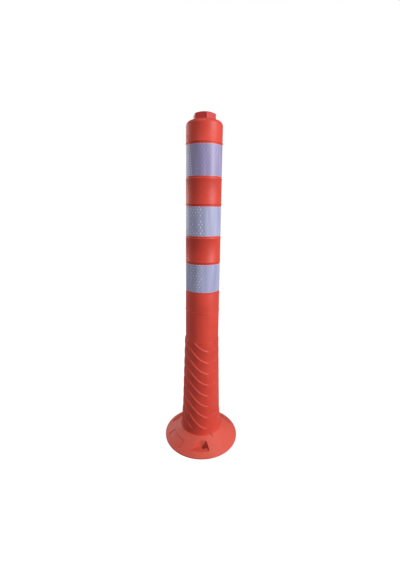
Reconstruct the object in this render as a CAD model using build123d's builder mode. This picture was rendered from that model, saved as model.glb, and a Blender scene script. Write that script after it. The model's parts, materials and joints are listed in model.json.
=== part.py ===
from build123d import *
import os
from math import cos, radians, sin, tan

# Delineator post: a hollow, spring-back plastic post on a round, bolted flange.
# Millimetres. +Z up, origin at the middle of the underside, front towards -Y.
# Azimuths are in degrees from the front, positive towards +X.

# Overall sizes
overall_height = 730.0
post_radius = 37.5
base_radius = 87.0
wall = 4.0

# Reflective bands, in seats between raised beads
band_names = ["band_top", "band_middle", "band_bottom"]
band_height = 60.0
band_gap = 60.0
top_band_drop = 62.0
film_thickness = 0.4
seat_depth = 0.5
bead_height = 0.5
bead_width = 4.0
bead_offset = 5.0

# Shoulder, neck and plug
shoulder_round = 9.0
top_wall = 6.0
neck_radius = 16.0
neck_clearance = 0.05
plug_flats = 42.0
plug_turn = 11.0
plug_head = 15.0
plug_chamfer = 1.5
plug_chamfer_angle = 20.0
plug_stem = 22.0
snap_height = 0.6
snap_width = 3.0

# Thin rings round the plain part of the tube
ring_height = 0.5
ring_width = 2.0
ring_z = 321.0

# Flexible, ribbed part and foot
flex_top = 253.0
flex_top_step = 0.5
foot_top = 80.0
foot_top_step = 5.3
foot_low_step = 8.9
foot_edge_step = 10.3
foot_round = 8.0
segment_count = 5
segment_length = 32.0
parting_azimuth = 31.0
parting_strip = 9.0
rib_tilt = 49.5
rib_pitch = 26.0
rib_width = 7.0
rib_height = 0.9
rib_shift = 0.6
rib_shift_azimuth = -70.0
rib_middle_z = 146.0
rib_bottom = 45.0
rib_root = 1.5

# Base flange
flange_top = 28.5
flange_ledge = 1.0
rim_height = 3.0
rim_round = 1.0
spigot_inset = 6.0
lip_reach = 6.0
lip_height = 4.0
lip_lift = 1.0

# Bolt pockets and holes
pocket_count = 3
pocket_floor = 10.0
pocket_setback = 7.7
pocket_inner_azimuths = (-4.0, 12.0)
pocket_wall_azimuths = (-60.0, 22.0)
pocket_corner_round = 3.0
bolt_setback = 6.0
bolt_azimuth = 5.0
bolt_hole_radius = 5.5

# Relief under the flange, with ribs and bosses left standing
relief_depth = 4.0
relief_inner_wall = 5.0
relief_outer_wall = 7.0
relief_rib_count = 12
relief_rib_width = 3.0
boss_radius = 12.0

# Blank label field and parting nub on the flange
field_azimuth = -58.0
field_angle = 40.0
field_setback = 15.2
field_margin = 7.0
field_depth = 0.8
nub_radius = 1.6
nub_length = 9.0

# Worked out from the sizes above
shoulder_z = overall_height - plug_head
bore_radius = post_radius - wall
flex_top_radius = post_radius + flex_top_step
foot_top_radius = post_radius + foot_top_step
foot_low_radius = post_radius + foot_low_step
foot_edge_radius = post_radius + foot_edge_step
spigot_radius = foot_edge_radius - spigot_inset
lip_radius = spigot_radius + lip_reach
cone_top_radius = foot_edge_radius + flange_ledge
pocket_inner_radius = cone_top_radius + pocket_setback
bolt_circle_radius = pocket_inner_radius + bolt_setback
relief_inner_radius = lip_radius + relief_inner_wall
relief_outer_radius = base_radius - relief_outer_wall
field_inner_radius = cone_top_radius + field_setback
field_outer_radius = base_radius - field_margin
cone_slope = (flange_top - rim_height) / (base_radius - cone_top_radius)
seat_radius = post_radius - seat_depth
band_tops = [overall_height - top_band_drop - i * (band_height + band_gap) for i in range(len(band_names))]
bead_heights = [band_top + bead_offset for band_top in band_tops]
bead_heights += [band_top - band_height - bead_offset for band_top in band_tops[:-1]]
plug_reach = 0.6 * plug_flats
plug_chamfer_drop = (plug_reach - plug_flats / 2 + plug_chamfer) * tan(radians(plug_chamfer_angle))
cut_heights = [foot_top + i * segment_length for i in range(segment_count + 1)]
foot_taper = (foot_top_radius - foot_low_radius) / (foot_top - flange_top - foot_round)
rib_bottom_radius = foot_top_radius - foot_taper * (foot_top - rib_bottom)
pocket_azimuths = [i * 360.0 / pocket_count for i in range(pocket_count)]


def on_azimuth(radius, azimuth, z=0.0):
    """The point at this radius and height, at an azimuth from the front."""
    return Vector(radius * sin(radians(azimuth)), -radius * cos(radians(azimuth)), z)


def cone_height(radius):
    """Height of the flange's cone at a radius."""
    return rim_height + cone_slope * (base_radius - radius)


# Tilted ribs round the flexible part, lowest at the parting line, where a strip stays plain.
# They stand a little off centre, so they run out towards one side.
rib_centre = on_azimuth(rib_shift, rib_shift_azimuth)
rib_reach = int((flex_top + flex_top_radius * tan(radians(rib_tilt)) - rib_middle_z) / rib_pitch) + 1
rib_slope = Location((0, 0, 0), (0, 0, parting_azimuth)) * Location((0, 0, 0), (rib_tilt, 0, 0))
rib_heights = [rib_middle_z + i * rib_pitch for i in range(-rib_reach, rib_reach + 1)]
rib_places = [Location((0, 0, rib_z)) * rib_slope for rib_z in rib_heights]

with BuildPart() as rib_slabs:
    with Locations(*rib_places):
        Box(4 * foot_edge_radius, 4 * foot_edge_radius, rib_width)

with BuildPart() as ribs:
    with BuildSketch(Plane(origin=rib_centre, x_dir=(1, 0, 0), z_dir=(0, -1, 0))):
        with BuildLine():
            Polyline(
                (0, rib_bottom),
                (rib_bottom_radius + rib_height, rib_bottom),
                (foot_top_radius + rib_height, foot_top),
                (flex_top_radius + rib_height, flex_top),
                (0, flex_top),
                close=True,
            )
        make_face()
    revolve(axis=Axis(rib_centre, (0, 0, 1)))
    add(rib_slabs.part, mode=Mode.INTERSECT)
    with BuildSketch(Plane.XY):
        Circle(bore_radius + rib_root)
        with Locations(Location((0, 0, 0), (0, 0, parting_azimuth))):
            Rectangle(parting_strip, base_radius, align=(Align.CENTER, Align.MAX))
    extrude(amount=overall_height, mode=Mode.SUBTRACT)

# The post is one moulding, from the lip held under the flange to the shoulder.
with BuildPart() as moulding:
    with BuildSketch(Plane.XZ):
        with BuildLine():
            spigot = Polyline(
                (bore_radius, lip_lift),
                (lip_radius, lip_lift),
                (lip_radius, lip_lift + lip_height),
                (spigot_radius, lip_lift + lip_height),
                (spigot_radius, flange_top),
                (foot_edge_radius, flange_top),
            )
            foot = Line((foot_low_radius, flange_top + foot_round), (foot_top_radius, foot_top))
            TangentArc(foot @ 0, spigot @ 1, tangent=-(foot % 0))
            tube = Polyline(
                foot @ 1,
                (flex_top_radius, flex_top),
                (post_radius, flex_top),
                (post_radius, shoulder_z - shoulder_round),
            )
            shoulder = RadiusArc(tube @ 1, (post_radius - shoulder_round, shoulder_z), -shoulder_round)
            Polyline(
                shoulder @ 1,
                (neck_radius, shoulder_z),
                (neck_radius, shoulder_z - top_wall),
                (bore_radius, shoulder_z - top_wall),
                (bore_radius, lip_lift),
            )
        make_face()
    revolve(axis=Axis.Z)
    add(ribs.part)

    for band_top in band_tops:
        with BuildSketch(Plane.XY.offset(band_top - band_height - bead_offset)):
            Circle(post_radius + bead_height)
            Circle(seat_radius, mode=Mode.SUBTRACT)
        extrude(amount=band_height + 2 * bead_offset, mode=Mode.SUBTRACT)

    for bead_z in bead_heights:
        with BuildSketch(Plane.XZ):
            with Locations((seat_radius, bead_z)):
                Ellipse(bead_height + seat_depth, bead_width / 2)
        revolve(axis=Axis.Z)

    for thin_ring_z in (ring_z, flex_top):
        with BuildSketch(Plane.XZ):
            with Locations((post_radius, thin_ring_z)):
                Ellipse(ring_height, ring_width / 2)
        revolve(axis=Axis.Z)

# The moulding is cut where it bends. A cut leaves a rib's tip loose here and there, so only
# the largest solid is kept. Its foot, which the flange grips:
with BuildPart() as post_foot:
    add(moulding.part)
    split(bisect_by=Plane.XY.offset(cut_heights[0]), keep=Keep.BOTTOM)
    add(post_foot.solids().sort_by(SortBy.VOLUME)[-1], mode=Mode.REPLACE)

# Its flexible part
segments = []
for i in range(segment_count):
    with BuildPart() as segment:
        add(moulding.part)
        split(bisect_by=Plane.XY.offset(cut_heights[i]), keep=Keep.TOP)
        split(bisect_by=Plane.XY.offset(cut_heights[i + 1]), keep=Keep.BOTTOM)
        add(segment.solids().sort_by(SortBy.VOLUME)[-1], mode=Mode.REPLACE)
    segment.part.label = f"flex_segment_{i + 1}"
    segments.append(segment)

# Its straight, upper tube
with BuildPart() as post_tube:
    add(moulding.part)
    split(bisect_by=Plane.XY.offset(cut_heights[-1]), keep=Keep.TOP)
    add(post_tube.solids().sort_by(SortBy.VOLUME)[-1], mode=Mode.REPLACE)

# Reflective films, wrapped round their seats
bands = []
for name, band_top in zip(band_names, band_tops):
    with BuildPart() as band:
        with BuildSketch(Plane.XY.offset(band_top - band_height)):
            Circle(seat_radius + film_thickness)
            Circle(seat_radius, mode=Mode.SUBTRACT)
        extrude(amount=band_height)
    band.part.label = name
    bands.append(band)

# Hexagonal plug, pushed into the neck, with a snap ring under the top wall
with BuildPart() as top_plug:
    with BuildSketch(Plane.XY.offset(shoulder_z)):
        RegularPolygon(plug_flats / 2, 6, major_radius=False, rotation=plug_turn - 90)
    extrude(amount=plug_head)
    with BuildSketch(Plane.XZ):
        with BuildLine():
            Polyline(
                (0, shoulder_z),
                (plug_reach, shoulder_z),
                (plug_reach, overall_height - plug_chamfer_drop),
                (plug_flats / 2 - plug_chamfer, overall_height),
                (0, overall_height),
                close=True,
            )
        make_face()
    revolve(axis=Axis.Z, mode=Mode.INTERSECT)
    with BuildSketch(Plane.XY.offset(shoulder_z)):
        Circle(neck_radius - neck_clearance)
    extrude(amount=-plug_stem)
    with BuildSketch(Plane.XZ):
        with Locations((neck_radius - neck_clearance, shoulder_z - top_wall - snap_width / 2)):
            Ellipse(snap_height, snap_width / 2)
    revolve(axis=Axis.Z)

# Flange, moulded round the foot's spigot
with BuildPart() as base_flange:
    with BuildSketch(Plane.XZ):
        with BuildLine():
            Polyline(
                (lip_radius, 0),
                (base_radius, 0),
                (base_radius, rim_height),
                (cone_top_radius, flange_top),
                (spigot_radius, flange_top),
                (spigot_radius, lip_lift + lip_height),
                (lip_radius, lip_lift + lip_height),
                close=True,
            )
        make_face()
    revolve(axis=Axis.Z)
    fillet(base_flange.edges().filter_by(GeomType.CIRCLE).sort_by(SortBy.RADIUS)[-1], rim_round)

    # Pockets that let the bolt heads stand on a level floor
    for azimuth in pocket_azimuths:
        with BuildSketch(Plane.XY.offset(pocket_floor)) as pocket:
            inner = [on_azimuth(pocket_inner_radius, azimuth + a) for a in pocket_inner_azimuths]
            outer = [p + on_azimuth(base_radius, azimuth + a) for p, a in zip(inner, pocket_wall_azimuths)]
            far = on_azimuth(2 * base_radius, azimuth)
            with BuildLine():
                Polyline(inner[0], inner[1], outer[1], far, outer[0], close=True)
            make_face()
            corners = pocket.vertices().sort_by(lambda v: Vector(v.X, v.Y).length)[:2]
            fillet(corners, pocket_corner_round)
        extrude(amount=flange_top, mode=Mode.SUBTRACT)

    # Relief under the flange
    with BuildSketch(Plane.XY):
        Circle(relief_outer_radius)
        Circle(relief_inner_radius, mode=Mode.SUBTRACT)
        with PolarLocations(0, relief_rib_count):
            Rectangle(2 * base_radius, relief_rib_width, mode=Mode.SUBTRACT)
        with Locations(*[on_azimuth(bolt_circle_radius, a + bolt_azimuth) for a in pocket_azimuths]):
            Circle(boss_radius, mode=Mode.SUBTRACT)
    extrude(amount=relief_depth, mode=Mode.SUBTRACT)

    with BuildSketch(Plane.XY):
        with Locations(*[on_azimuth(bolt_circle_radius, a + bolt_azimuth) for a in pocket_azimuths]):
            Circle(bolt_hole_radius)
    extrude(amount=flange_top, mode=Mode.SUBTRACT)

    # Blank label field, sunk in the cone
    with BuildSketch(Plane.XZ.rotated((0, 0, field_azimuth - field_angle / 2 - 90))):
        with BuildLine():
            Polyline(
                (field_inner_radius, cone_height(field_inner_radius) - field_depth),
                (field_outer_radius, cone_height(field_outer_radius) - field_depth),
                (field_outer_radius, flange_top),
                (field_inner_radius, flange_top),
                close=True,
            )
        make_face()
    revolve(axis=Axis.Z, revolution_arc=field_angle, mode=Mode.SUBTRACT)

    # Nub where the mould parts
    nub_plane = Plane(
        origin=on_azimuth(cone_top_radius, parting_azimuth, cone_height(cone_top_radius)),
        z_dir=on_azimuth(1, parting_azimuth, -cone_slope),
    )
    with BuildSketch(nub_plane):
        Circle(nub_radius)
    extrude(amount=nub_length)

post_foot.part.label = "post_foot"
post_tube.part.label = "post_tube"
top_plug.part.label = "top_plug"
base_flange.part.label = "base_flange"

os.makedirs("parts", exist_ok=True)
for piece in [base_flange, post_foot, *segments, post_tube, *bands, top_plug]:
    export_step(piece.part, f"parts/{piece.part.label}.step")
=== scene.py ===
import json
from math import acos, atan, atan2, cos, degrees, pi, radians, sin, tan

import bmesh
import bpy
from mathutils import Matrix, Vector


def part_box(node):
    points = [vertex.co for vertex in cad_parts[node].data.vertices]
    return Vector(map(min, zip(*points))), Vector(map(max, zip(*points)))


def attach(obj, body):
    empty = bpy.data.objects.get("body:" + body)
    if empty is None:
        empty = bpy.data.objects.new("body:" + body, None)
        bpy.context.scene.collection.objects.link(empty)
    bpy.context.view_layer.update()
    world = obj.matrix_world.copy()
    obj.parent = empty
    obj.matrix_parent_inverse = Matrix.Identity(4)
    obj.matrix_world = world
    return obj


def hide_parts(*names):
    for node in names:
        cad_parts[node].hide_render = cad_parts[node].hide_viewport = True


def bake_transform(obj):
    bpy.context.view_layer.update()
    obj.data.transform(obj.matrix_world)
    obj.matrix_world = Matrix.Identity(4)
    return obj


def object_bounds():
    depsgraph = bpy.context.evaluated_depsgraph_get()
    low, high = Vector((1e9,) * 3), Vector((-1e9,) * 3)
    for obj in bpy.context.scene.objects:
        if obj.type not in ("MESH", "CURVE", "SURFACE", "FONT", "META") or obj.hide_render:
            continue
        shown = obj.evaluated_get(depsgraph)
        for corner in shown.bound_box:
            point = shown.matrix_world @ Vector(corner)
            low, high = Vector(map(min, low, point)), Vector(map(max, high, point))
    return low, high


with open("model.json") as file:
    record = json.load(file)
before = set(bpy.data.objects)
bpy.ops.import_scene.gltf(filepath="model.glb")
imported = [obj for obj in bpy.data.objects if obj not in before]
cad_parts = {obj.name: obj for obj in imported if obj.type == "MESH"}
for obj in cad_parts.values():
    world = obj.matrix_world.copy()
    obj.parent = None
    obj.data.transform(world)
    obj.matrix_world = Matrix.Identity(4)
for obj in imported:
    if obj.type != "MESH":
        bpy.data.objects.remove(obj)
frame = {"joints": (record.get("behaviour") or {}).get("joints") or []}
cad_low, cad_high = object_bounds()

# A spring-back traffic post: a hollow orange-red moulding with a ribbed part that bends, on a
# bolted flange, with three reflective films and a hexagonal plug. Metres, +Z up, front to -Y.
# Azimuths are in degrees from the front, positive towards +X.
mm = 0.001

# Sizes read from the frame
overall_height = cad_high.z
base_radius = cad_high.x
shoulder_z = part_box("post_tube")[1].z
plug_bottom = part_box("top_plug")[0].z
film_boxes = {name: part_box(name) for name in ("band_bottom", "band_middle", "band_top")}
joint_heights = [joint["pos_m"][2] for joint in frame["joints"]]

# Tube
post_radius = 37.5 * mm
bore_radius = 33.5 * mm
seat_radius = 37.0 * mm
seat_margin = 5.0 * mm
bead_size = (1.0 * mm, 2.0 * mm)
ring_size = (0.7 * mm, 1.0 * mm)
ring_z = 321.0 * mm
shoulder_round = 9.0 * mm
neck_radius = 16.0 * mm
top_wall = 6.0 * mm
corner_round = 0.6 * mm
parting_azimuth = 31.0
parting_flash = 0.07 * mm

# Flexible part and foot
flex_top = 253.0 * mm
flex_top_radius = 38.0 * mm
foot_top = 80.0 * mm
foot_top_radius = 42.8 * mm
foot_low = 36.5 * mm
foot_low_radius = 46.4 * mm
foot_edge_radius = 47.8 * mm
spigot_radius = 41.8 * mm
lip_low = 1.0 * mm
lip_high = 5.0 * mm
rib_slope = tan(radians(49.5))
rib_pitch = 26.0 * mm
rib_middle_z = 146.0 * mm
rib_height = 1.7 * mm
rib_ledge = 0.09
rib_swell_power = 2.2
rib_fade_low = 37.5 * mm
rib_fade_high = 46.0 * mm
rib_strip = (6.0, 15.0)
tube_bottom = flex_top - ring_size[1]

# Flange
flange_top = 28.5 * mm
flange_ledge = 1.0 * mm
cone_top_radius = foot_edge_radius + flange_ledge
rim_height = 3.0 * mm
rim_round = 1.0 * mm
cone_slope = (flange_top - rim_height) / (base_radius - cone_top_radius)
pocket_azimuths = (0.0, 120.0, 240.0)
pocket_floor = 10.0 * mm
pocket_inner_radius = 56.5 * mm
pocket_inner_azimuths = (-4.0, 12.0)
pocket_wall_azimuths = (-60.0, 22.0)
pocket_draft = 2.4 * mm
pocket_corner_round = 3.0 * mm
pocket_overrun = 2.0 * mm
hole_overrun = 1.0 * mm
bolt_circle_radius = 62.5 * mm
bolt_azimuth = 5.0
bolt_hole_radius = 5.5 * mm
relief_radii = (52.8 * mm, 80.0 * mm)
relief_depth = 4.0 * mm
relief_rib_width = 3.0 * mm
relief_rib_count = 6
boss_radius = 12.0 * mm
field_azimuth = -58.0
field_angle = 40.0
field_radii = (64.0 * mm, 80.0 * mm)
field_depth = 1.4 * mm
nub_radius = 2.2 * mm
nub_length = 9.0 * mm
flange_edge_round = 0.5 * mm

# Plug
plug_flats = 42.0 * mm
plug_corner_azimuth = 11.0
plug_corner_power = 40
plug_top_radius = 19.5 * mm
plug_chamfer_angle = 20.0
plug_edge_round = 1.0 * mm
snap_size = (0.6 * mm, 1.5 * mm)
stem_clearance = 0.05 * mm

# Film
film_clearance = 0.02 * mm
film_thickness = 0.25 * mm
film_edge_round = 0.08 * mm
film_overlap = 8.0
film_slant = 7.0 / (40.0 * mm)
film_height = film_boxes["band_top"][1].z - film_boxes["band_top"][0].z
film_edge_line = 0.9 * mm
film_radius = seat_radius + film_clearance + film_thickness
film_length = radians(360.0 + film_overlap) * film_radius
end_line = 2.2 * mm
end_spacing = 5.0 * mm
strip_period = 78.0 * mm
cell_width = 7.5 * mm
cell_height = 12.0 * mm

# Fineness of the meshes
columns = 288
ledge_rows = 4
taper_rows = 14
taper_power = 1.6
bore_rows = 40

# Studio and camera
floor_radius = 2.6
sweep_round = 1.4
sweep_height = 4.4
camera_lens = 19.14
camera_shift = -0.0232
camera_place = Vector((-6.2 * mm, -660.0 * mm, 542.0 * mm))
camera_pitch = 11.6
camera_roll = 0.55


def on_azimuth(radius, azimuth, z=0.0):
    """The point at this radius and height, at an azimuth from the front."""
    return Vector((radius * sin(radians(azimuth)), -radius * cos(radians(azimuth)), z))


def azimuth_of(point):
    return degrees(atan2(point.x, -point.y))


def apart(azimuth, other):
    """How far one azimuth is from another, in degrees, with its sign."""
    return (azimuth - other + 180.0) % 360.0 - 180.0


def smooth_step(low, high, value):
    share = min(max((value - low) / (high - low), 0.0), 1.0)
    return share * share * (3.0 - 2.0 * share)


def cone_height(radius):
    return rim_height + cone_slope * (base_radius - radius)


def arc(middle, size, start, end, steps=8):
    """Points (radius, height) on an ellipse in a section, from angle start to end.

    An angle of 0 is outwards and 90 is up."""
    angles = [radians(start + (end - start) * i / steps) for i in range(steps + 1)]
    return [(middle[0] + size[0] * cos(a), middle[1] + size[1] * sin(a)) for a in angles]


# ---------------------------------------------------------------- materials


def colour(code):
    """A linear colour from an sRGB hex value."""
    parts = [int(code[i:i + 2], 16) / 255.0 for i in (0, 2, 4)]
    return [p / 12.92 if p <= 0.04045 else ((p + 0.055) / 1.055) ** 2.4 for p in parts] + [1.0]


def node(tree, kind, inputs=None, **settings):
    """Adds a node. An input is a value, or a (node, output) pair to link from."""
    made = tree.nodes.new(kind)
    for name, value in settings.items():
        setattr(made, name, value)
    for name, value in (inputs or {}).items():
        if isinstance(value, tuple) and isinstance(value[0], bpy.types.Node):
            tree.links.new(value[0].outputs[value[1]], made.inputs[name])
        else:
            made.inputs[name].default_value = value
    return made


def new_material(name):
    """An empty node material, with its tree and its shader linked to the output."""
    material = bpy.data.materials.new(name)
    material.use_nodes = True
    tree = material.node_tree
    tree.nodes.clear()
    shader = node(tree, "ShaderNodeBsdfPrincipled")
    node(tree, "ShaderNodeOutputMaterial", {"Surface": (shader, "BSDF")})
    return material, tree, shader


def blend_colours(tree, share, low, high):
    return node(tree, "ShaderNodeMix", {"Factor": share, "A": low, "B": high}, data_type="RGBA")


def noise(tree, place, size, detail=3.0, rough=0.5):
    """Noise whose lumps are about this size in metres."""
    return node(
        tree, "ShaderNodeTexNoise",
        {"Vector": place, "Scale": 1.0 / size, "Detail": detail, "Roughness": rough},
    )


def maths(tree, operation, first, second):
    return node(tree, "ShaderNodeMath", {0: first, 1: second}, operation=operation)


def ranged(tree, value, low, high, to_low, to_high):
    return node(
        tree, "ShaderNodeMapRange",
        {"Value": value, "From Min": low, "From Max": high, "To Min": to_low, "To Max": to_high},
    )


def moulded_plastic(name, main, deep, worn, place_kind):
    """Satin, injection-moulded plastic, coloured right through: a soft, slightly waxy gloss,
    faint clouds of flow colour, a fine orange-peel skin, and paler rub marks."""
    material, tree, shader = new_material(name)
    if place_kind == "rest":
        place = (node(tree, "ShaderNodeAttribute", attribute_name="rest"), "Vector")
    else:
        place = (node(tree, "ShaderNodeTexCoord"), "Object")
    clouds = noise(tree, place, 55 * mm, 2.0)
    base = blend_colours(tree, (ranged(tree, (clouds, "Fac"), 0.35, 0.65, 0.0, 1.0), "Result"), deep, main)
    rubs = noise(tree, place, 9 * mm, 6.0, 0.65)
    rubbed = ranged(tree, (rubs, "Fac"), 0.60, 0.74, 0.0, 0.35)
    tinted = blend_colours(tree, (rubbed, "Result"), (base, "Result"), worn)
    tree.links.new(tinted.outputs["Result"], shader.inputs["Base Color"])
    mottle = noise(tree, place, 4 * mm, 4.0)
    gloss = ranged(tree, (mottle, "Fac"), 0.3, 0.7, 0.44, 0.56)
    tree.links.new(gloss.outputs["Result"], shader.inputs["Roughness"])
    # Orange peel of about 1.5 mm, drawn a little deeper than real so that it shows
    peel = noise(tree, place, 1.6 * mm, 2.0)
    bump = node(tree, "ShaderNodeBump", {"Height": (peel, "Fac"), "Strength": 0.35, "Distance": 0.06 * mm})
    tree.links.new(bump.outputs["Normal"], shader.inputs["Normal"])
    shader.inputs["IOR"].default_value = 1.49
    shader.inputs["Specular IOR Level"].default_value = 0.4
    return material


def prismatic_film(name, main, deep, painted_glint_strength, glint_strip_middle):
    """Prismatic retro-reflective film: a clear face over rows of tiny prisms, sealed in a lattice of diamond
    cells. The prisms lie in strips; pale dots at the lattice's crossings, on every other strip, are a
    painted highlight for the glints the prisms throw back."""
    material, tree, shader = new_material(name)
    place = node(tree, "ShaderNodeUVMap", uv_map="wrap")
    apart_uv = node(tree, "ShaderNodeSeparateXYZ", {"Vector": (place, "UV")})
    across = maths(tree, "DIVIDE", (apart_uv, "X"), cell_width)
    along = maths(tree, "DIVIDE", (apart_uv, "Y"), cell_height)
    rising = maths(tree, "ADD", (across, "Value"), (along, "Value"))
    falling = maths(tree, "SUBTRACT", (across, "Value"), (along, "Value"))
    near_rising = maths(tree, "PINGPONG", (rising, "Value"), 0.5)
    near_falling = maths(tree, "PINGPONG", (falling, "Value"), 0.5)
    crossing = maths(tree, "MAXIMUM", (near_rising, "Value"), (near_falling, "Value"))
    seam = maths(tree, "MINIMUM", (near_rising, "Value"), (near_falling, "Value"))
    points = ranged(tree, (crossing, "Value"), 0.10, 0.20, 1.0, 0.0)
    lines = ranged(tree, (seam, "Value"), 0.03, 0.09, 1.0, 0.0)
    object_place = (node(tree, "ShaderNodeTexCoord"), "Object")
    # Painted highlight: the prisms' glints, as pale dots at the lattice's crossings, brighter in patches and
    # on every other strip
    glint_patches = noise(tree, object_place, 14 * mm, 1.0)
    painted_glint_patch = ranged(tree, (glint_patches, "Fac"), 0.40, 0.60, 0.2 * painted_glint_strength, painted_glint_strength)
    from_strip = maths(tree, "SUBTRACT", (apart_uv, "X"), glint_strip_middle)
    strip = maths(tree, "PINGPONG", (from_strip, "Value"), strip_period / 2)
    glint_strip_mask = ranged(tree, (strip, "Value"), 0.15 * strip_period, 0.24 * strip_period, 1.0, 0.08)
    streak_place = node(
        tree, "ShaderNodeMapping", {"Vector": object_place, "Scale": (1.0, 1.0, 0.08)}
    )
    streaks = noise(tree, (streak_place, "Vector"), 9 * mm, 3.0)
    base = blend_colours(
        tree, (ranged(tree, (streaks, "Fac"), 0.35, 0.65, 0.0, 1.0), "Result"), deep, main
    )
    painted_glint_points = maths(tree, "MULTIPLY", (points, "Result"), (painted_glint_patch, "Result"))
    painted_glints = maths(tree, "MULTIPLY", (painted_glint_points, "Value"), (glint_strip_mask, "Result"))
    lit_lines = maths(tree, "MULTIPLY", (lines, "Result"), 0.10)
    # The pale lattice colour holds both the painted glints and the faint seal lines between the cells
    lattice = maths(tree, "MAXIMUM", (painted_glints, "Value"), (lit_lines, "Value"))
    tinted = blend_colours(tree, (lattice, "Value"), (base, "Result"), colour("E6E6F2"))
    from_edge = maths(tree, "PINGPONG", (apart_uv, "Y"), film_height / 2)
    edge = ranged(tree, (from_edge, "Value"), 0.4 * film_edge_line, film_edge_line, 0.3, 0.0)
    stitches = maths(tree, "PINGPONG", (apart_uv, "Y"), end_spacing / 2)
    stitch = ranged(tree, (stitches, "Value"), 0.2 * end_spacing, 0.3 * end_spacing, 0.8, 0.0)
    at_end = maths(tree, "GREATER_THAN", (apart_uv, "X"), film_length - end_line)
    end_dots = maths(tree, "MULTIPLY", (stitch, "Result"), (at_end, "Value"))
    marks = maths(tree, "MAXIMUM", (edge, "Result"), (end_dots, "Value"))
    edged = blend_colours(tree, (marks, "Value"), (tinted, "Result"), colour("D4D4E6"))
    tree.links.new(edged.outputs["Result"], shader.inputs["Base Color"])
    gloss = ranged(tree, (streaks, "Fac"), 0.3, 0.7, 0.46, 0.58)
    tree.links.new(gloss.outputs["Result"], shader.inputs["Roughness"])
    bump = node(
        tree, "ShaderNodeBump", {"Height": (lines, "Result"), "Strength": 0.4, "Distance": 0.08 * mm}
    )
    tree.links.new(bump.outputs["Normal"], shader.inputs["Normal"])
    shader.inputs["IOR"].default_value = 1.49
    shader.inputs["Coat Weight"].default_value = 0.15
    shader.inputs["Coat Roughness"].default_value = 0.25
    return material


def studio_paper():
    """Matt white background paper: no gloss, with a barely visible fibre tone."""
    material, tree, shader = new_material("matt_background_paper")
    place = (node(tree, "ShaderNodeTexCoord"), "Object")
    fibre = noise(tree, place, 40 * mm, 4.0)
    tone = blend_colours(tree, (fibre, "Fac"), colour("7C7C7C"), colour("808080"))
    tree.links.new(tone.outputs["Result"], shader.inputs["Base Color"])
    # Lit from behind, as a light table is
    shader.inputs["Emission Color"].default_value = colour("FFFFFF")
    shader.inputs["Emission Strength"].default_value = 0.90
    shader.inputs["Roughness"].default_value = 0.95
    shader.inputs["Specular IOR Level"].default_value = 0.0
    return material


# ---------------------------------------------------------------- mesh tools


def spun(outline, steps=columns, closed=False, turn=360.0, start=parting_azimuth):
    """A bmesh of an outline of (radius, height) points, turned about the Z axis."""
    bm = bmesh.new()
    verts = [bm.verts.new(on_azimuth(radius, start, z)) for radius, z in outline]
    for a, b in zip(verts, verts[1:]):
        bm.edges.new((a, b))
    if closed:
        bm.edges.new((verts[-1], verts[0]))
    whole = turn == 360.0
    bmesh.ops.spin(
        bm, geom=bm.verts[:] + bm.edges[:], cent=(0, 0, 0), axis=(0, 0, 1), dvec=(0, 0, 0),
        angle=radians(turn), steps=steps, use_merge=whole, use_duplicate=False,
    )
    bmesh.ops.remove_doubles(bm, verts=bm.verts[:], dist=0.001 * mm)
    bmesh.ops.recalc_face_normals(bm, faces=bm.faces[:])
    return bm


def mark_sharp(bm, angle=38.0):
    for edge in bm.edges:
        edge.smooth = edge.calc_face_angle(pi) < radians(angle)


def to_object(bm, name, material, angle=38.0):
    """A smooth-shaded object of a bmesh, with each point's rest place kept for its material."""
    for face in bm.faces:
        face.smooth = True
    mark_sharp(bm, angle)
    mesh = bpy.data.meshes.new(name)
    bm.to_mesh(mesh)
    bm.free()
    if material:
        mesh.materials.append(material)
    rest = mesh.attributes.new("rest", "FLOAT_VECTOR", "POINT")
    for point, vertex in zip(rest.data, mesh.vertices):
        point.vector = vertex.co
    piece = bpy.data.objects.new(name, mesh)
    bpy.context.scene.collection.objects.link(piece)
    return piece


def combine(piece, cutters, operation):
    """Cuts, joins or meets a piece with others, which are then removed."""
    for cutter in cutters:
        modifier = piece.modifiers.new("combine", "BOOLEAN")
        modifier.operation = operation
        modifier.solver = "EXACT"
        modifier.object = cutter
    shape = bpy.data.meshes.new_from_object(piece.evaluated_get(bpy.context.evaluated_depsgraph_get()))
    piece.modifiers.clear()
    piece.data = shape
    for cutter in cutters:
        bpy.data.objects.remove(cutter)
    return piece


# ---------------------------------------------------------------- post moulding


def wall_radius(z):
    """Radius of the flexible part and foot between their ribs."""
    if z > foot_top:
        share = (z - foot_top) / (flex_top - foot_top)
        return foot_top_radius + (flex_top_radius - foot_top_radius) * share
    share = (z - foot_low) / (foot_top - foot_low)
    return foot_low_radius + (foot_top_radius - foot_low_radius) * share


def rib_profile(share):
    """A rib's height at a share of the way up from its crest to the next.

    A short ledge comes first, then a long swell."""
    if share < rib_ledge:
        return 0.5 + 0.5 * cos(pi * share / rib_ledge)
    return ((share - rib_ledge) / (1.0 - rib_ledge)) ** rib_swell_power


def rib_strength(azimuth, z):
    """Ribs are deep on the left, run out to the right, and leave a plain strip where the mould parts."""
    side = 0.56 - 0.44 * cos(radians(apart(azimuth, 115.0)))
    off_front = abs(apart(azimuth, parting_azimuth))
    off_back = 180.0 - off_front
    strip = smooth_step(rib_strip[0], rib_strip[1], min(off_front, off_back))
    return side * strip * smooth_step(rib_fade_low, rib_fade_high, z)


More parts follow.
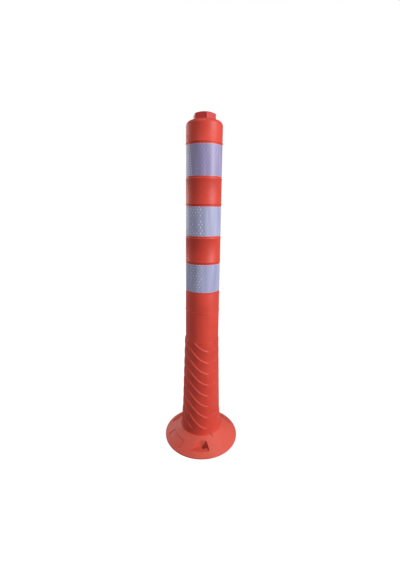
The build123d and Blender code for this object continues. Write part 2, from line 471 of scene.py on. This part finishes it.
def ribbed_skin():
    """The flexible part's outside and its bore. Rows of faces follow the ribs, so each crest is one loop."""
    reach = int(foot_edge_radius * rib_slope / rib_pitch) + 1
    first = int((rib_fade_low - rib_middle_z) / rib_pitch) - reach
    last = int((flex_top - rib_middle_z) / rib_pitch) + reach
    spread = [rib_ledge * i / ledge_rows for i in range(ledge_rows)]
    spread += [1.0 - (1.0 - rib_ledge) * (1.0 - i / taper_rows) ** taper_power for i in range(taper_rows)]
    heights = [(k + s) * rib_pitch for k in range(first, last) for s in spread]
    bm = spun([(flex_top_radius, z) for z in heights])
    for vertex in bm.verts:
        azimuth = azimuth_of(vertex.co)
        share = (vertex.co.z / rib_pitch) % 1.0
        on_axis = rib_middle_z + vertex.co.z
        z = on_axis
        for _ in range(4):
            z = on_axis - wall_radius(z) * rib_slope * cos(radians(azimuth - parting_azimuth))
        radius = wall_radius(z) + rib_height * rib_profile(share) * rib_strength(azimuth, z)
        vertex.co = on_azimuth(radius, azimuth, z)
    bore_low = rib_fade_low - rib_pitch
    bore_high = flex_top + rib_pitch
    bore_step = (bore_high - bore_low) / bore_rows
    bore = spun([(bore_radius, bore_low + bore_step * i) for i in range(bore_rows + 1)])
    bmesh.ops.reverse_faces(bore, faces=bore.faces[:])
    bore_mesh = bpy.data.meshes.new("bore")
    bore.to_mesh(bore_mesh)
    bore.free()
    bm.from_mesh(bore_mesh)
    bpy.data.meshes.remove(bore_mesh)
    return bm


def keep_between(bm, low, high):
    """Cuts a bmesh level at two heights and keeps what is between them."""
    for height, above in ((low, False), (high, True)):
        bmesh.ops.bisect_plane(
            bm, geom=bm.verts[:] + bm.edges[:] + bm.faces[:], plane_co=(0, 0, height), plane_no=(0, 0, 1),
            dist=0.001 * mm, clear_outer=above, clear_inner=not above,
        )


def rim_edges(bm, height):
    """Open edges that lie level at a height."""
    near = 0.01 * mm
    return [e for e in bm.edges if e.is_boundary and all(abs(v.co.z - height) < near for v in e.verts)]


def matched_normals(piece, layer_name="whole_normal"):
    """Shades a slice as it was shaded in the whole moulding, so that no line shows where slices meet."""
    mesh = piece.data
    whole = mesh.attributes[layer_name].data
    normals = []
    for face in mesh.polygons:
        level = abs(face.normal.z) > 0.999
        normals += [face.normal[:] if level else whole[i].vector[:] for i in face.vertices]
    mesh.normals_split_custom_set(normals)
    mesh.attributes.remove(mesh.attributes[layer_name])


def skin_slice(whole, low, high):
    """A closed slice of the flexible part, with its wall."""
    bm = whole.copy()
    keep_between(bm, low, high)
    for height in (low, high):
        bmesh.ops.bridge_loops(bm, edges=rim_edges(bm, height))
    return bm


def foot_outline():
    """The foot below its ribs, from the bore round the lip and spigot to the flare."""
    top = rib_fade_low - 0.5 * mm
    flare_steps = 10
    wall_slope = (foot_low_radius - foot_top_radius) / (foot_top - foot_low)
    corner_drop = 0.7 * (foot_low - flange_top)
    corner = (foot_low_radius + corner_drop * wall_slope, foot_low - corner_drop)
    flare = []
    for i in range(flare_steps + 1):
        t = i / flare_steps
        ends = ((foot_edge_radius, flange_top), corner, (foot_low_radius, foot_low))
        weights = ((1 - t) ** 2, 2 * t * (1 - t), t * t)
        flare.append(tuple(sum(w * p[k] for w, p in zip(weights, ends)) for k in (0, 1)))
    return [
        (bore_radius, top), (bore_radius, lip_low),
        (foot_edge_radius, lip_low), (foot_edge_radius, lip_high),
        (spigot_radius, lip_high), (spigot_radius, flange_top),
        *flare, (wall_radius(top), top),
    ]


def make_flexible_part(material):
    """The foot and the slices that bend, one for each joint."""
    whole = ribbed_skin()
    layer = whole.verts.layers.float_vector.new("whole_normal")
    whole.normal_update()
    for vertex in whole.verts:
        vertex[layer] = vertex.normal
    half_long, half_short = 20.0 * mm, 12.0 * mm
    halves = [half_long if i % 2 == 0 else half_short for i in range(len(joint_heights))]
    for i, (height, half) in enumerate(zip(joint_heights, halves)):
        low = height - half
        high = min(height + half, tube_bottom)
        piece = to_object(skin_slice(whole, low, high), f"flexible_part_{i + 1}", material, 180.0)
        matched_normals(piece)
        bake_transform(piece)
        if i < len(joint_heights) - 1:
            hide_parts(f"flex_segment_{i + 1}")
    foot_high = joint_heights[0] - half_long
    foot = whole.copy()
    whole.free()
    keep_between(foot, rib_fade_low, foot_high)
    bmesh.ops.bridge_loops(foot, edges=rim_edges(foot, foot_high))
    plain = spun(foot_outline())
    plain.normal_update()
    plain_layer = plain.verts.layers.float_vector.new("whole_normal")
    for vertex in plain.verts:
        vertex[plain_layer] = vertex.normal
    plain_mesh = bpy.data.meshes.new("plain_foot")
    plain.to_mesh(plain_mesh)
    plain.free()
    foot.from_mesh(plain_mesh)
    bpy.data.meshes.remove(plain_mesh)
    for outside in (True, False):
        middle = (bore_radius + foot_low_radius) / 2
        edges = [e for e in foot.edges if e.is_boundary and (e.verts[0].co.xy.length > middle) == outside]
        bmesh.ops.bridge_loops(foot, edges=edges)
    bmesh.ops.recalc_face_normals(foot, faces=foot.faces[:])
    piece = to_object(foot, "post_foot_moulding", material)
    piece.data.attributes.remove(piece.data.attributes["whole_normal"])
    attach(piece, "base")
    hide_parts("post_foot")


def tube_outline():
    """The straight tube, from the ring above the ribs up to the neck, and back down its bore."""
    ring_low = arc((post_radius, flex_top), (0.75 * mm, ring_size[1]), -50, 90)
    points = [(flex_top_radius, tube_bottom), *ring_low]
    points += arc((post_radius, ring_z), ring_size, -90, 90)
    bead_start = degrees(acos((post_radius - seat_radius) / bead_size[0]))
    for name in ("band_bottom", "band_middle", "band_top"):
        low = film_boxes[name][0].z - seat_margin
        high = film_boxes[name][1].z + seat_margin
        if name == "band_bottom":
            points += arc((seat_radius, low), (0.5 * mm, 0.5 * mm), 0, 90, 4)
        else:
            points += arc((seat_radius, low), bead_size, -bead_start, 90, 10)
        points += arc((seat_radius, high), bead_size, -90, bead_start, 10)
    middle = (post_radius - shoulder_round, shoulder_z - shoulder_round)
    points += arc(middle, (shoulder_round, shoulder_round), 0, 90, 14)
    edge_middle = (neck_radius + corner_round, shoulder_z - corner_round)
    points += arc(edge_middle, (corner_round, corner_round), 90, 180, 4)
    points += [(neck_radius, shoulder_z - top_wall), (bore_radius, shoulder_z - top_wall)]
    points += [(bore_radius, tube_bottom)]
    return points


def make_tube(material):
    bm = spun(tube_outline(), closed=True)
    for vertex in bm.verts:
        outside = vertex.co.xy.length > seat_radius - 0.1 * mm and vertex.co.z > flex_top
        on_parting = abs(apart(azimuth_of(vertex.co), parting_azimuth)) % 180.0 < 0.01
        if outside and on_parting:
            vertex.co.xy *= 1.0 + parting_flash / post_radius
    piece = to_object(bm, "post_tube_moulding", material)
    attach(piece, "post")
    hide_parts("post_tube")


# ---------------------------------------------------------------- films


def make_film(name, material, seam_azimuth):
    """A film, laid out flat and then wrapped once round its seat, its slanted end lapped over its start."""
    low, high = film_boxes[name][0].z, film_boxes[name][1].z
    inner = seat_radius + film_clearance
    outer = film_radius
    outline = [
        (inner, low), (outer - film_edge_round, low), (outer, low + film_edge_round),
        (outer, (low + high) / 2),
        (outer, high - film_edge_round), (outer - film_edge_round, high), (inner, high),
    ]
    degree_length = radians(1.0) * outer
    bm = bmesh.new()
    verts = [bm.verts.new((0.0, depth, z)) for depth, z in outline]
    edges = [bm.edges.new((a, b)) for a, b in zip(verts, verts[1:] + verts[:1])]
    bmesh.ops.spin(
        bm, geom=verts + edges, cent=(0, 0, 0), axis=(0, 0, 1), dvec=(film_length / columns, 0, 0),
        angle=0.0, steps=columns, use_merge=False, use_duplicate=False,
    )
    bmesh.ops.holes_fill(bm, edges=[e for e in bm.edges if e.is_boundary], sides=0)
    wrap = bm.loops.layers.uv.new("wrap")
    for face in bm.faces:
        for loop in face.loops:
            loop[wrap].uv = (loop.vert.co.x, loop.vert.co.z - low)
    for vertex in bm.verts:
        turned = vertex.co.x / degree_length
        slant = film_slant * (high - vertex.co.z) * smooth_step(330.0, 360.0, turned)
        lift = 1.1 * film_thickness * smooth_step(354.0, 359.0, turned)
        vertex.co = on_azimuth(vertex.co.y + lift, seam_azimuth - film_overlap + turned + slant, vertex.co.z)
    bmesh.ops.recalc_face_normals(bm, faces=bm.faces[:])
    piece = to_object(bm, name + "_film", material)
    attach(piece, "post")
    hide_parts(name)


# ---------------------------------------------------------------- plug


def soft_min(a, b, width):
    """The smaller of two values, rounded over where they cross."""
    share = min(max(0.5 + 0.5 * (b - a) / width, 0.0), 1.0)
    return b + (a - b) * share - width * share * (1.0 - share)


def hexagon_radius(azimuth):
    """Radius of the plug's head at an azimuth, with its corners rounded off."""
    flats = [plug_corner_azimuth + 30.0 + 60.0 * i for i in range(6)]
    facing = [max(cos(radians(azimuth - flat)), 0.0) for flat in flats]
    total = sum(f ** plug_corner_power for f in facing)
    return plug_flats / 2 / total ** (1.0 / plug_corner_power)


def make_plug(material):
    """Hexagonal head with a turned chamfer, and a round stem with its snap ring down in the neck."""
    chamfer_slope = tan(radians(plug_chamfer_angle))
    reach = plug_flats / 2 / cos(radians(30.0)) + plug_edge_round
    steps = 24
    stem = neck_radius - stem_clearance
    rim_middle = (plug_top_radius - plug_edge_round, overall_height - plug_edge_round)
    points = [(0.0, overall_height)]
    points += [(plug_top_radius * share, overall_height) for share in (0.3, 0.6, 0.8)]
    points += arc(rim_middle, (plug_edge_round, plug_edge_round), 90, 90 - plug_chamfer_angle, 5)
    start = points[-1]
    width = (reach - start[0]) / steps
    points += [(start[0] + width * i, start[1] - width * i * chamfer_slope) for i in range(1, steps + 1)]
    chamfer_end = points[-1][1]
    side_low = shoulder_z + corner_round
    points += [(reach, chamfer_end + (side_low - chamfer_end) * share) for share in (0.25, 0.5, 0.75, 0.9)]
    points += [(reach, side_low), (reach - corner_round, shoulder_z), (stem, shoulder_z)]
    points += arc((stem, shoulder_z - top_wall - snap_size[1]), snap_size, 90, -90)
    points += [(stem, plug_bottom + corner_round), (stem - corner_round, plug_bottom), (0.0, plug_bottom)]
    bm = spun(points, steps=192, start=plug_corner_azimuth)
    for vertex in bm.verts:
        radius = vertex.co.xy.length
        if vertex.co.z < shoulder_z - corner_round or radius < neck_radius:
            continue
        azimuth = azimuth_of(vertex.co)
        inset = radius - reach if vertex.co.z < side_low - 0.01 * mm and radius > neck_radius else 0.0
        radius = soft_min(radius - inset, hexagon_radius(azimuth), 2 * plug_edge_round) + inset
        vertex.co = on_azimuth(radius, azimuth, vertex.co.z)
    piece = to_object(bm, "hexagonal_plug", material)
    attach(piece, "post")
    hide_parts("top_plug")


# ---------------------------------------------------------------- flange


def flange_outline():
    lean = degrees(atan(cone_slope))
    rim_normal = 90.0 - lean
    rim_middle_radius = base_radius - rim_round
    rim_middle_z = cone_height(rim_middle_radius + rim_round * cos(radians(rim_normal)))
    rim_middle_z -= rim_round * sin(radians(rim_normal))
    low_round = 0.9 * mm
    points = [(foot_edge_radius, 0.0)]
    points += arc((base_radius - low_round, low_round), (low_round, low_round), -90, 0, 3)
    points += arc((rim_middle_radius, rim_middle_z), (rim_round, rim_round), 0, rim_normal, 5)
    points += [(cone_top_radius, flange_top), (spigot_radius, flange_top)]
    points += [(spigot_radius, lip_high), (foot_edge_radius, lip_high)]
    return points


def prism(corners, low, high, rounded=0, size=0.0):
    """A level-ended prism on these corners, the first few of them rounded."""
    bm = bmesh.new()
    verts = [bm.verts.new((corner.x, corner.y, low)) for corner in corners]
    bm.faces.new(verts)
    if rounded:
        bmesh.ops.bevel(
            bm, geom=verts[:rounded], offset=size, segments=8, profile=0.5, affect="VERTICES", material=-1
        )
    grown = bmesh.ops.extrude_face_region(bm, geom=bm.faces[:])
    moved = [v for v in grown["geom"] if isinstance(v, bmesh.types.BMVert)]
    bmesh.ops.translate(bm, verts=moved, vec=(0, 0, high - low))
    bmesh.ops.recalc_face_normals(bm, faces=bm.faces[:])
    return bm


def rod(radius, length, matrix, rounded=0.0, segments=64):
    """A rod from its start along its matrix's Z axis."""
    bm = bmesh.new()
    bmesh.ops.create_cone(
        bm, cap_ends=True, segments=segments, radius1=radius, radius2=radius, depth=length,
        matrix=matrix @ Matrix.Translation((0, 0, length / 2)),
    )
    if rounded:
        ends = [e for e in bm.edges if e.calc_face_angle(0.0) > radians(60.0)]
        bmesh.ops.bevel(
            bm, geom=ends, offset=rounded, segments=5, profile=0.5, affect="EDGES", material=-1
        )
    return bm


def pocket_cutter(azimuth):
    inner = [on_azimuth(pocket_inner_radius, azimuth + a) for a in pocket_inner_azimuths]
    outer = [p + on_azimuth(base_radius, azimuth + a) for p, a in zip(inner, pocket_wall_azimuths)]
    far = on_azimuth(2 * base_radius, azimuth)
    corners = [*inner, outer[1], far, outer[0]]
    bm = prism(corners, pocket_floor, flange_top + pocket_overrun, 2, pocket_corner_round)
    low_verts = [v for v in bm.verts if v.co.z < pocket_floor + 0.01 * mm]
    draft = on_azimuth(pocket_draft, azimuth + pocket_wall_azimuths[0] + 90.0)
    bmesh.ops.translate(bm, verts=low_verts, vec=draft)
    return bm


def relief_cutter():
    """The hollow under the flange, less its ribs and bosses."""
    low = -relief_depth
    inner, outer = relief_radii
    corners = [(inner, low), (outer, low), (outer, relief_depth), (inner, relief_depth)]
    hollow = to_object(spun(corners, steps=96, closed=True), "relief", None)
    kept = []
    for i in range(relief_rib_count):
        along = on_azimuth(2 * base_radius, 180.0 * i / relief_rib_count)
        side = on_azimuth(relief_rib_width / 2, 180.0 * i / relief_rib_count + 90.0)
        corners = [along + side, -along + side, -along - side, along - side]
        kept.append(to_object(prism(corners, 2 * low, flange_top), "relief_rib", None))
    for azimuth in pocket_azimuths:
        place = Matrix.Translation(on_azimuth(bolt_circle_radius, azimuth + bolt_azimuth, 2 * low))
        kept.append(to_object(rod(boss_radius, flange_top, place), "boss", None))
    return combine(hollow, kept, "DIFFERENCE")


def field_cutter():
    inner, outer = field_radii
    corners = [
        (inner, cone_height(inner) - field_depth), (outer, cone_height(outer) - field_depth),
        (outer, flange_top), (inner, flange_top),
    ]
    bm = spun(corners, steps=24, closed=True, turn=field_angle, start=field_azimuth - field_angle / 2)
    bmesh.ops.holes_fill(bm, edges=[e for e in bm.edges if e.is_boundary], sides=0)
    bmesh.ops.recalc_face_normals(bm, faces=bm.faces[:])
    return bm


def make_flange(material):
    """A shallow cone with three level bolt pockets, a blank label field and a ribbed underside."""
    piece = to_object(spun(flange_outline(), steps=192, closed=True), "flange_moulding", material)
    nub_inset = cone_top_radius - nub_radius
    nub_start = on_azimuth(nub_inset, parting_azimuth, cone_height(nub_inset))
    nub_way = on_azimuth(1.0, parting_azimuth, -cone_slope).to_track_quat("Z", "Y").to_matrix().to_4x4()
    nub = rod(nub_radius, nub_length, Matrix.Translation(nub_start) @ nub_way, nub_radius * 0.7, 24)
    combine(piece, [to_object(nub, "nub", None)], "UNION")
    combine(piece, [to_object(field_cutter(), "field", None), relief_cutter()], "DIFFERENCE")
    for azimuth in pocket_azimuths:
        combine(piece, [to_object(pocket_cutter(azimuth), "pocket", None)], "DIFFERENCE")
        place = Matrix.Translation(on_azimuth(bolt_circle_radius, azimuth + bolt_azimuth, -flange_top))
        hole = rod(bolt_hole_radius, flange_top + pocket_floor + hole_overrun, place, 0.0, 48)
        combine(piece, [to_object(hole, "hole", None)], "DIFFERENCE")
    bm = bmesh.new()
    bm.from_mesh(piece.data)
    bmesh.ops.remove_doubles(bm, verts=bm.verts[:], dist=0.02 * mm)
    bmesh.ops.dissolve_degenerate(bm, edges=bm.edges[:], dist=0.02 * mm)
    crisp = [e for e in bm.edges if e.is_manifold and e.calc_face_angle() > radians(28.0)]
    bmesh.ops.bevel(
        bm, geom=crisp, offset=flange_edge_round, segments=2, profile=0.5, affect="EDGES",
        clamp_overlap=True, material=-1,
    )
    for face in bm.faces:
        face.smooth = True
    mark_sharp(bm, 50.0)
    bm.to_mesh(piece.data)
    bm.free()
    shading = piece.modifiers.new("shading", "WEIGHTED_NORMAL")
    shading.keep_sharp = True
    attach(piece, "base")
    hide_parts("base_flange")


# ---------------------------------------------------------------- studio


def make_floor():
    """A round white sweep, the same from every side."""
    outline = [(0.0, 0.0), (floor_radius, 0.0)]
    outline += arc((floor_radius, sweep_round), (sweep_round, sweep_round), -90, 0, 16)
    outline += [(floor_radius + sweep_round, sweep_height)]
    bm = spun(outline, steps=96)
    floor = to_object(bm, "studio_sweep", studio_paper())
    floor.visible_diffuse = False
    floor.visible_glossy = False


def soft_light(name, azimuth, elevation, distance, size, power, tint="FFFFFF"):
    """A rectangular soft light, aimed at the middle of the post."""
    middle = Vector((0.0, 0.0, overall_height / 2))
    level = cos(radians(elevation))
    away = Vector((level * sin(radians(azimuth)), -level * cos(radians(azimuth)), sin(radians(elevation))))
    data = bpy.data.lights.new(name, "AREA")
    data.shape = "RECTANGLE"
    data.size, data.size_y = size
    data.energy = power
    data.color = colour(tint)[:3]
    light = bpy.data.objects.new(name, data)
    light.location = middle + distance * away
    light.rotation_euler = away.to_track_quat("Z", "Y").to_euler()
    bpy.context.scene.collection.objects.link(light)


def make_lights():
    soft_light("key", 58.0, 20.0, 2.4, (0.8, 1.8), 66.0)
    soft_light("side_fill", -130.0, 15.0, 2.2, (1.8, 1.2), 18.0)
    soft_light("overhead", -30.0, 70.0, 2.3, (1.0, 1.0), 10.0)
    world = bpy.data.worlds.new("studio")
    world.use_nodes = True
    background = world.node_tree.nodes["Background"]
    background.inputs["Color"].default_value = colour("FFFFFF")
    background.inputs["Strength"].default_value = 0.37
    bpy.context.scene.world = world
    bpy.context.scene.view_settings.view_transform = "Standard"


def make_camera():
    data = bpy.data.cameras.new("camera")
    data.lens = camera_lens
    data.sensor_width = 36.0
    data.shift_y = camera_shift
    camera = bpy.data.objects.new("camera", data)
    camera.location = camera_place
    tilt = Matrix.Rotation(radians(90.0 - camera_pitch), 4, "X")
    camera.rotation_euler = (tilt @ Matrix.Rotation(radians(camera_roll), 4, "Z")).to_euler()
    bpy.context.scene.collection.objects.link(camera)
    bpy.context.scene.camera = camera


# ---------------------------------------------------------------- the object

post_plastic = moulded_plastic(
    "satin_moulded_polyurethane", colour("C83D2D"), colour("BC3526"), colour("D45A48"), "rest"
)
# The flange is tinted pinker than the post: partly its own colour as a separate moulding, partly painted
# light for the paler light its upward-facing cone catches
flange_plastic = moulded_plastic(
    "satin_moulded_polyurethane_flange", colour("C94F40"), colour("C14536"), colour("D67464"), "object"
)
plug_plastic = moulded_plastic(
    "satin_moulded_polyethylene", colour("C23A38"), colour("B4302E"), colour("D0605A"), "object"
)
# The last two numbers set each film's painted glint strength and where along it the strip of painted glints
# lies
lilac_film = prismatic_film("prismatic_film_lilac", colour("9088AE"), colour("7E759E"), 0.12, 0.0)
grey_film = prismatic_film("prismatic_film_blue_grey", colour("9C9EBF"), colour("898AAC"), 1.0, 23.5 * mm)
low_film = prismatic_film("prismatic_film_blue_grey_low", colour("9C9EBF"), colour("898AAC"), 1.0, 48.0 * mm)

make_camera()
make_floor()
make_lights()
make_flexible_part(post_plastic)
make_tube(post_plastic)
make_film("band_top", lilac_film, -50.0)
make_film("band_middle", grey_film, -53.0)
make_film("band_bottom", low_film, 150.0)
make_plug(plug_plastic)
make_flange(flange_plastic)
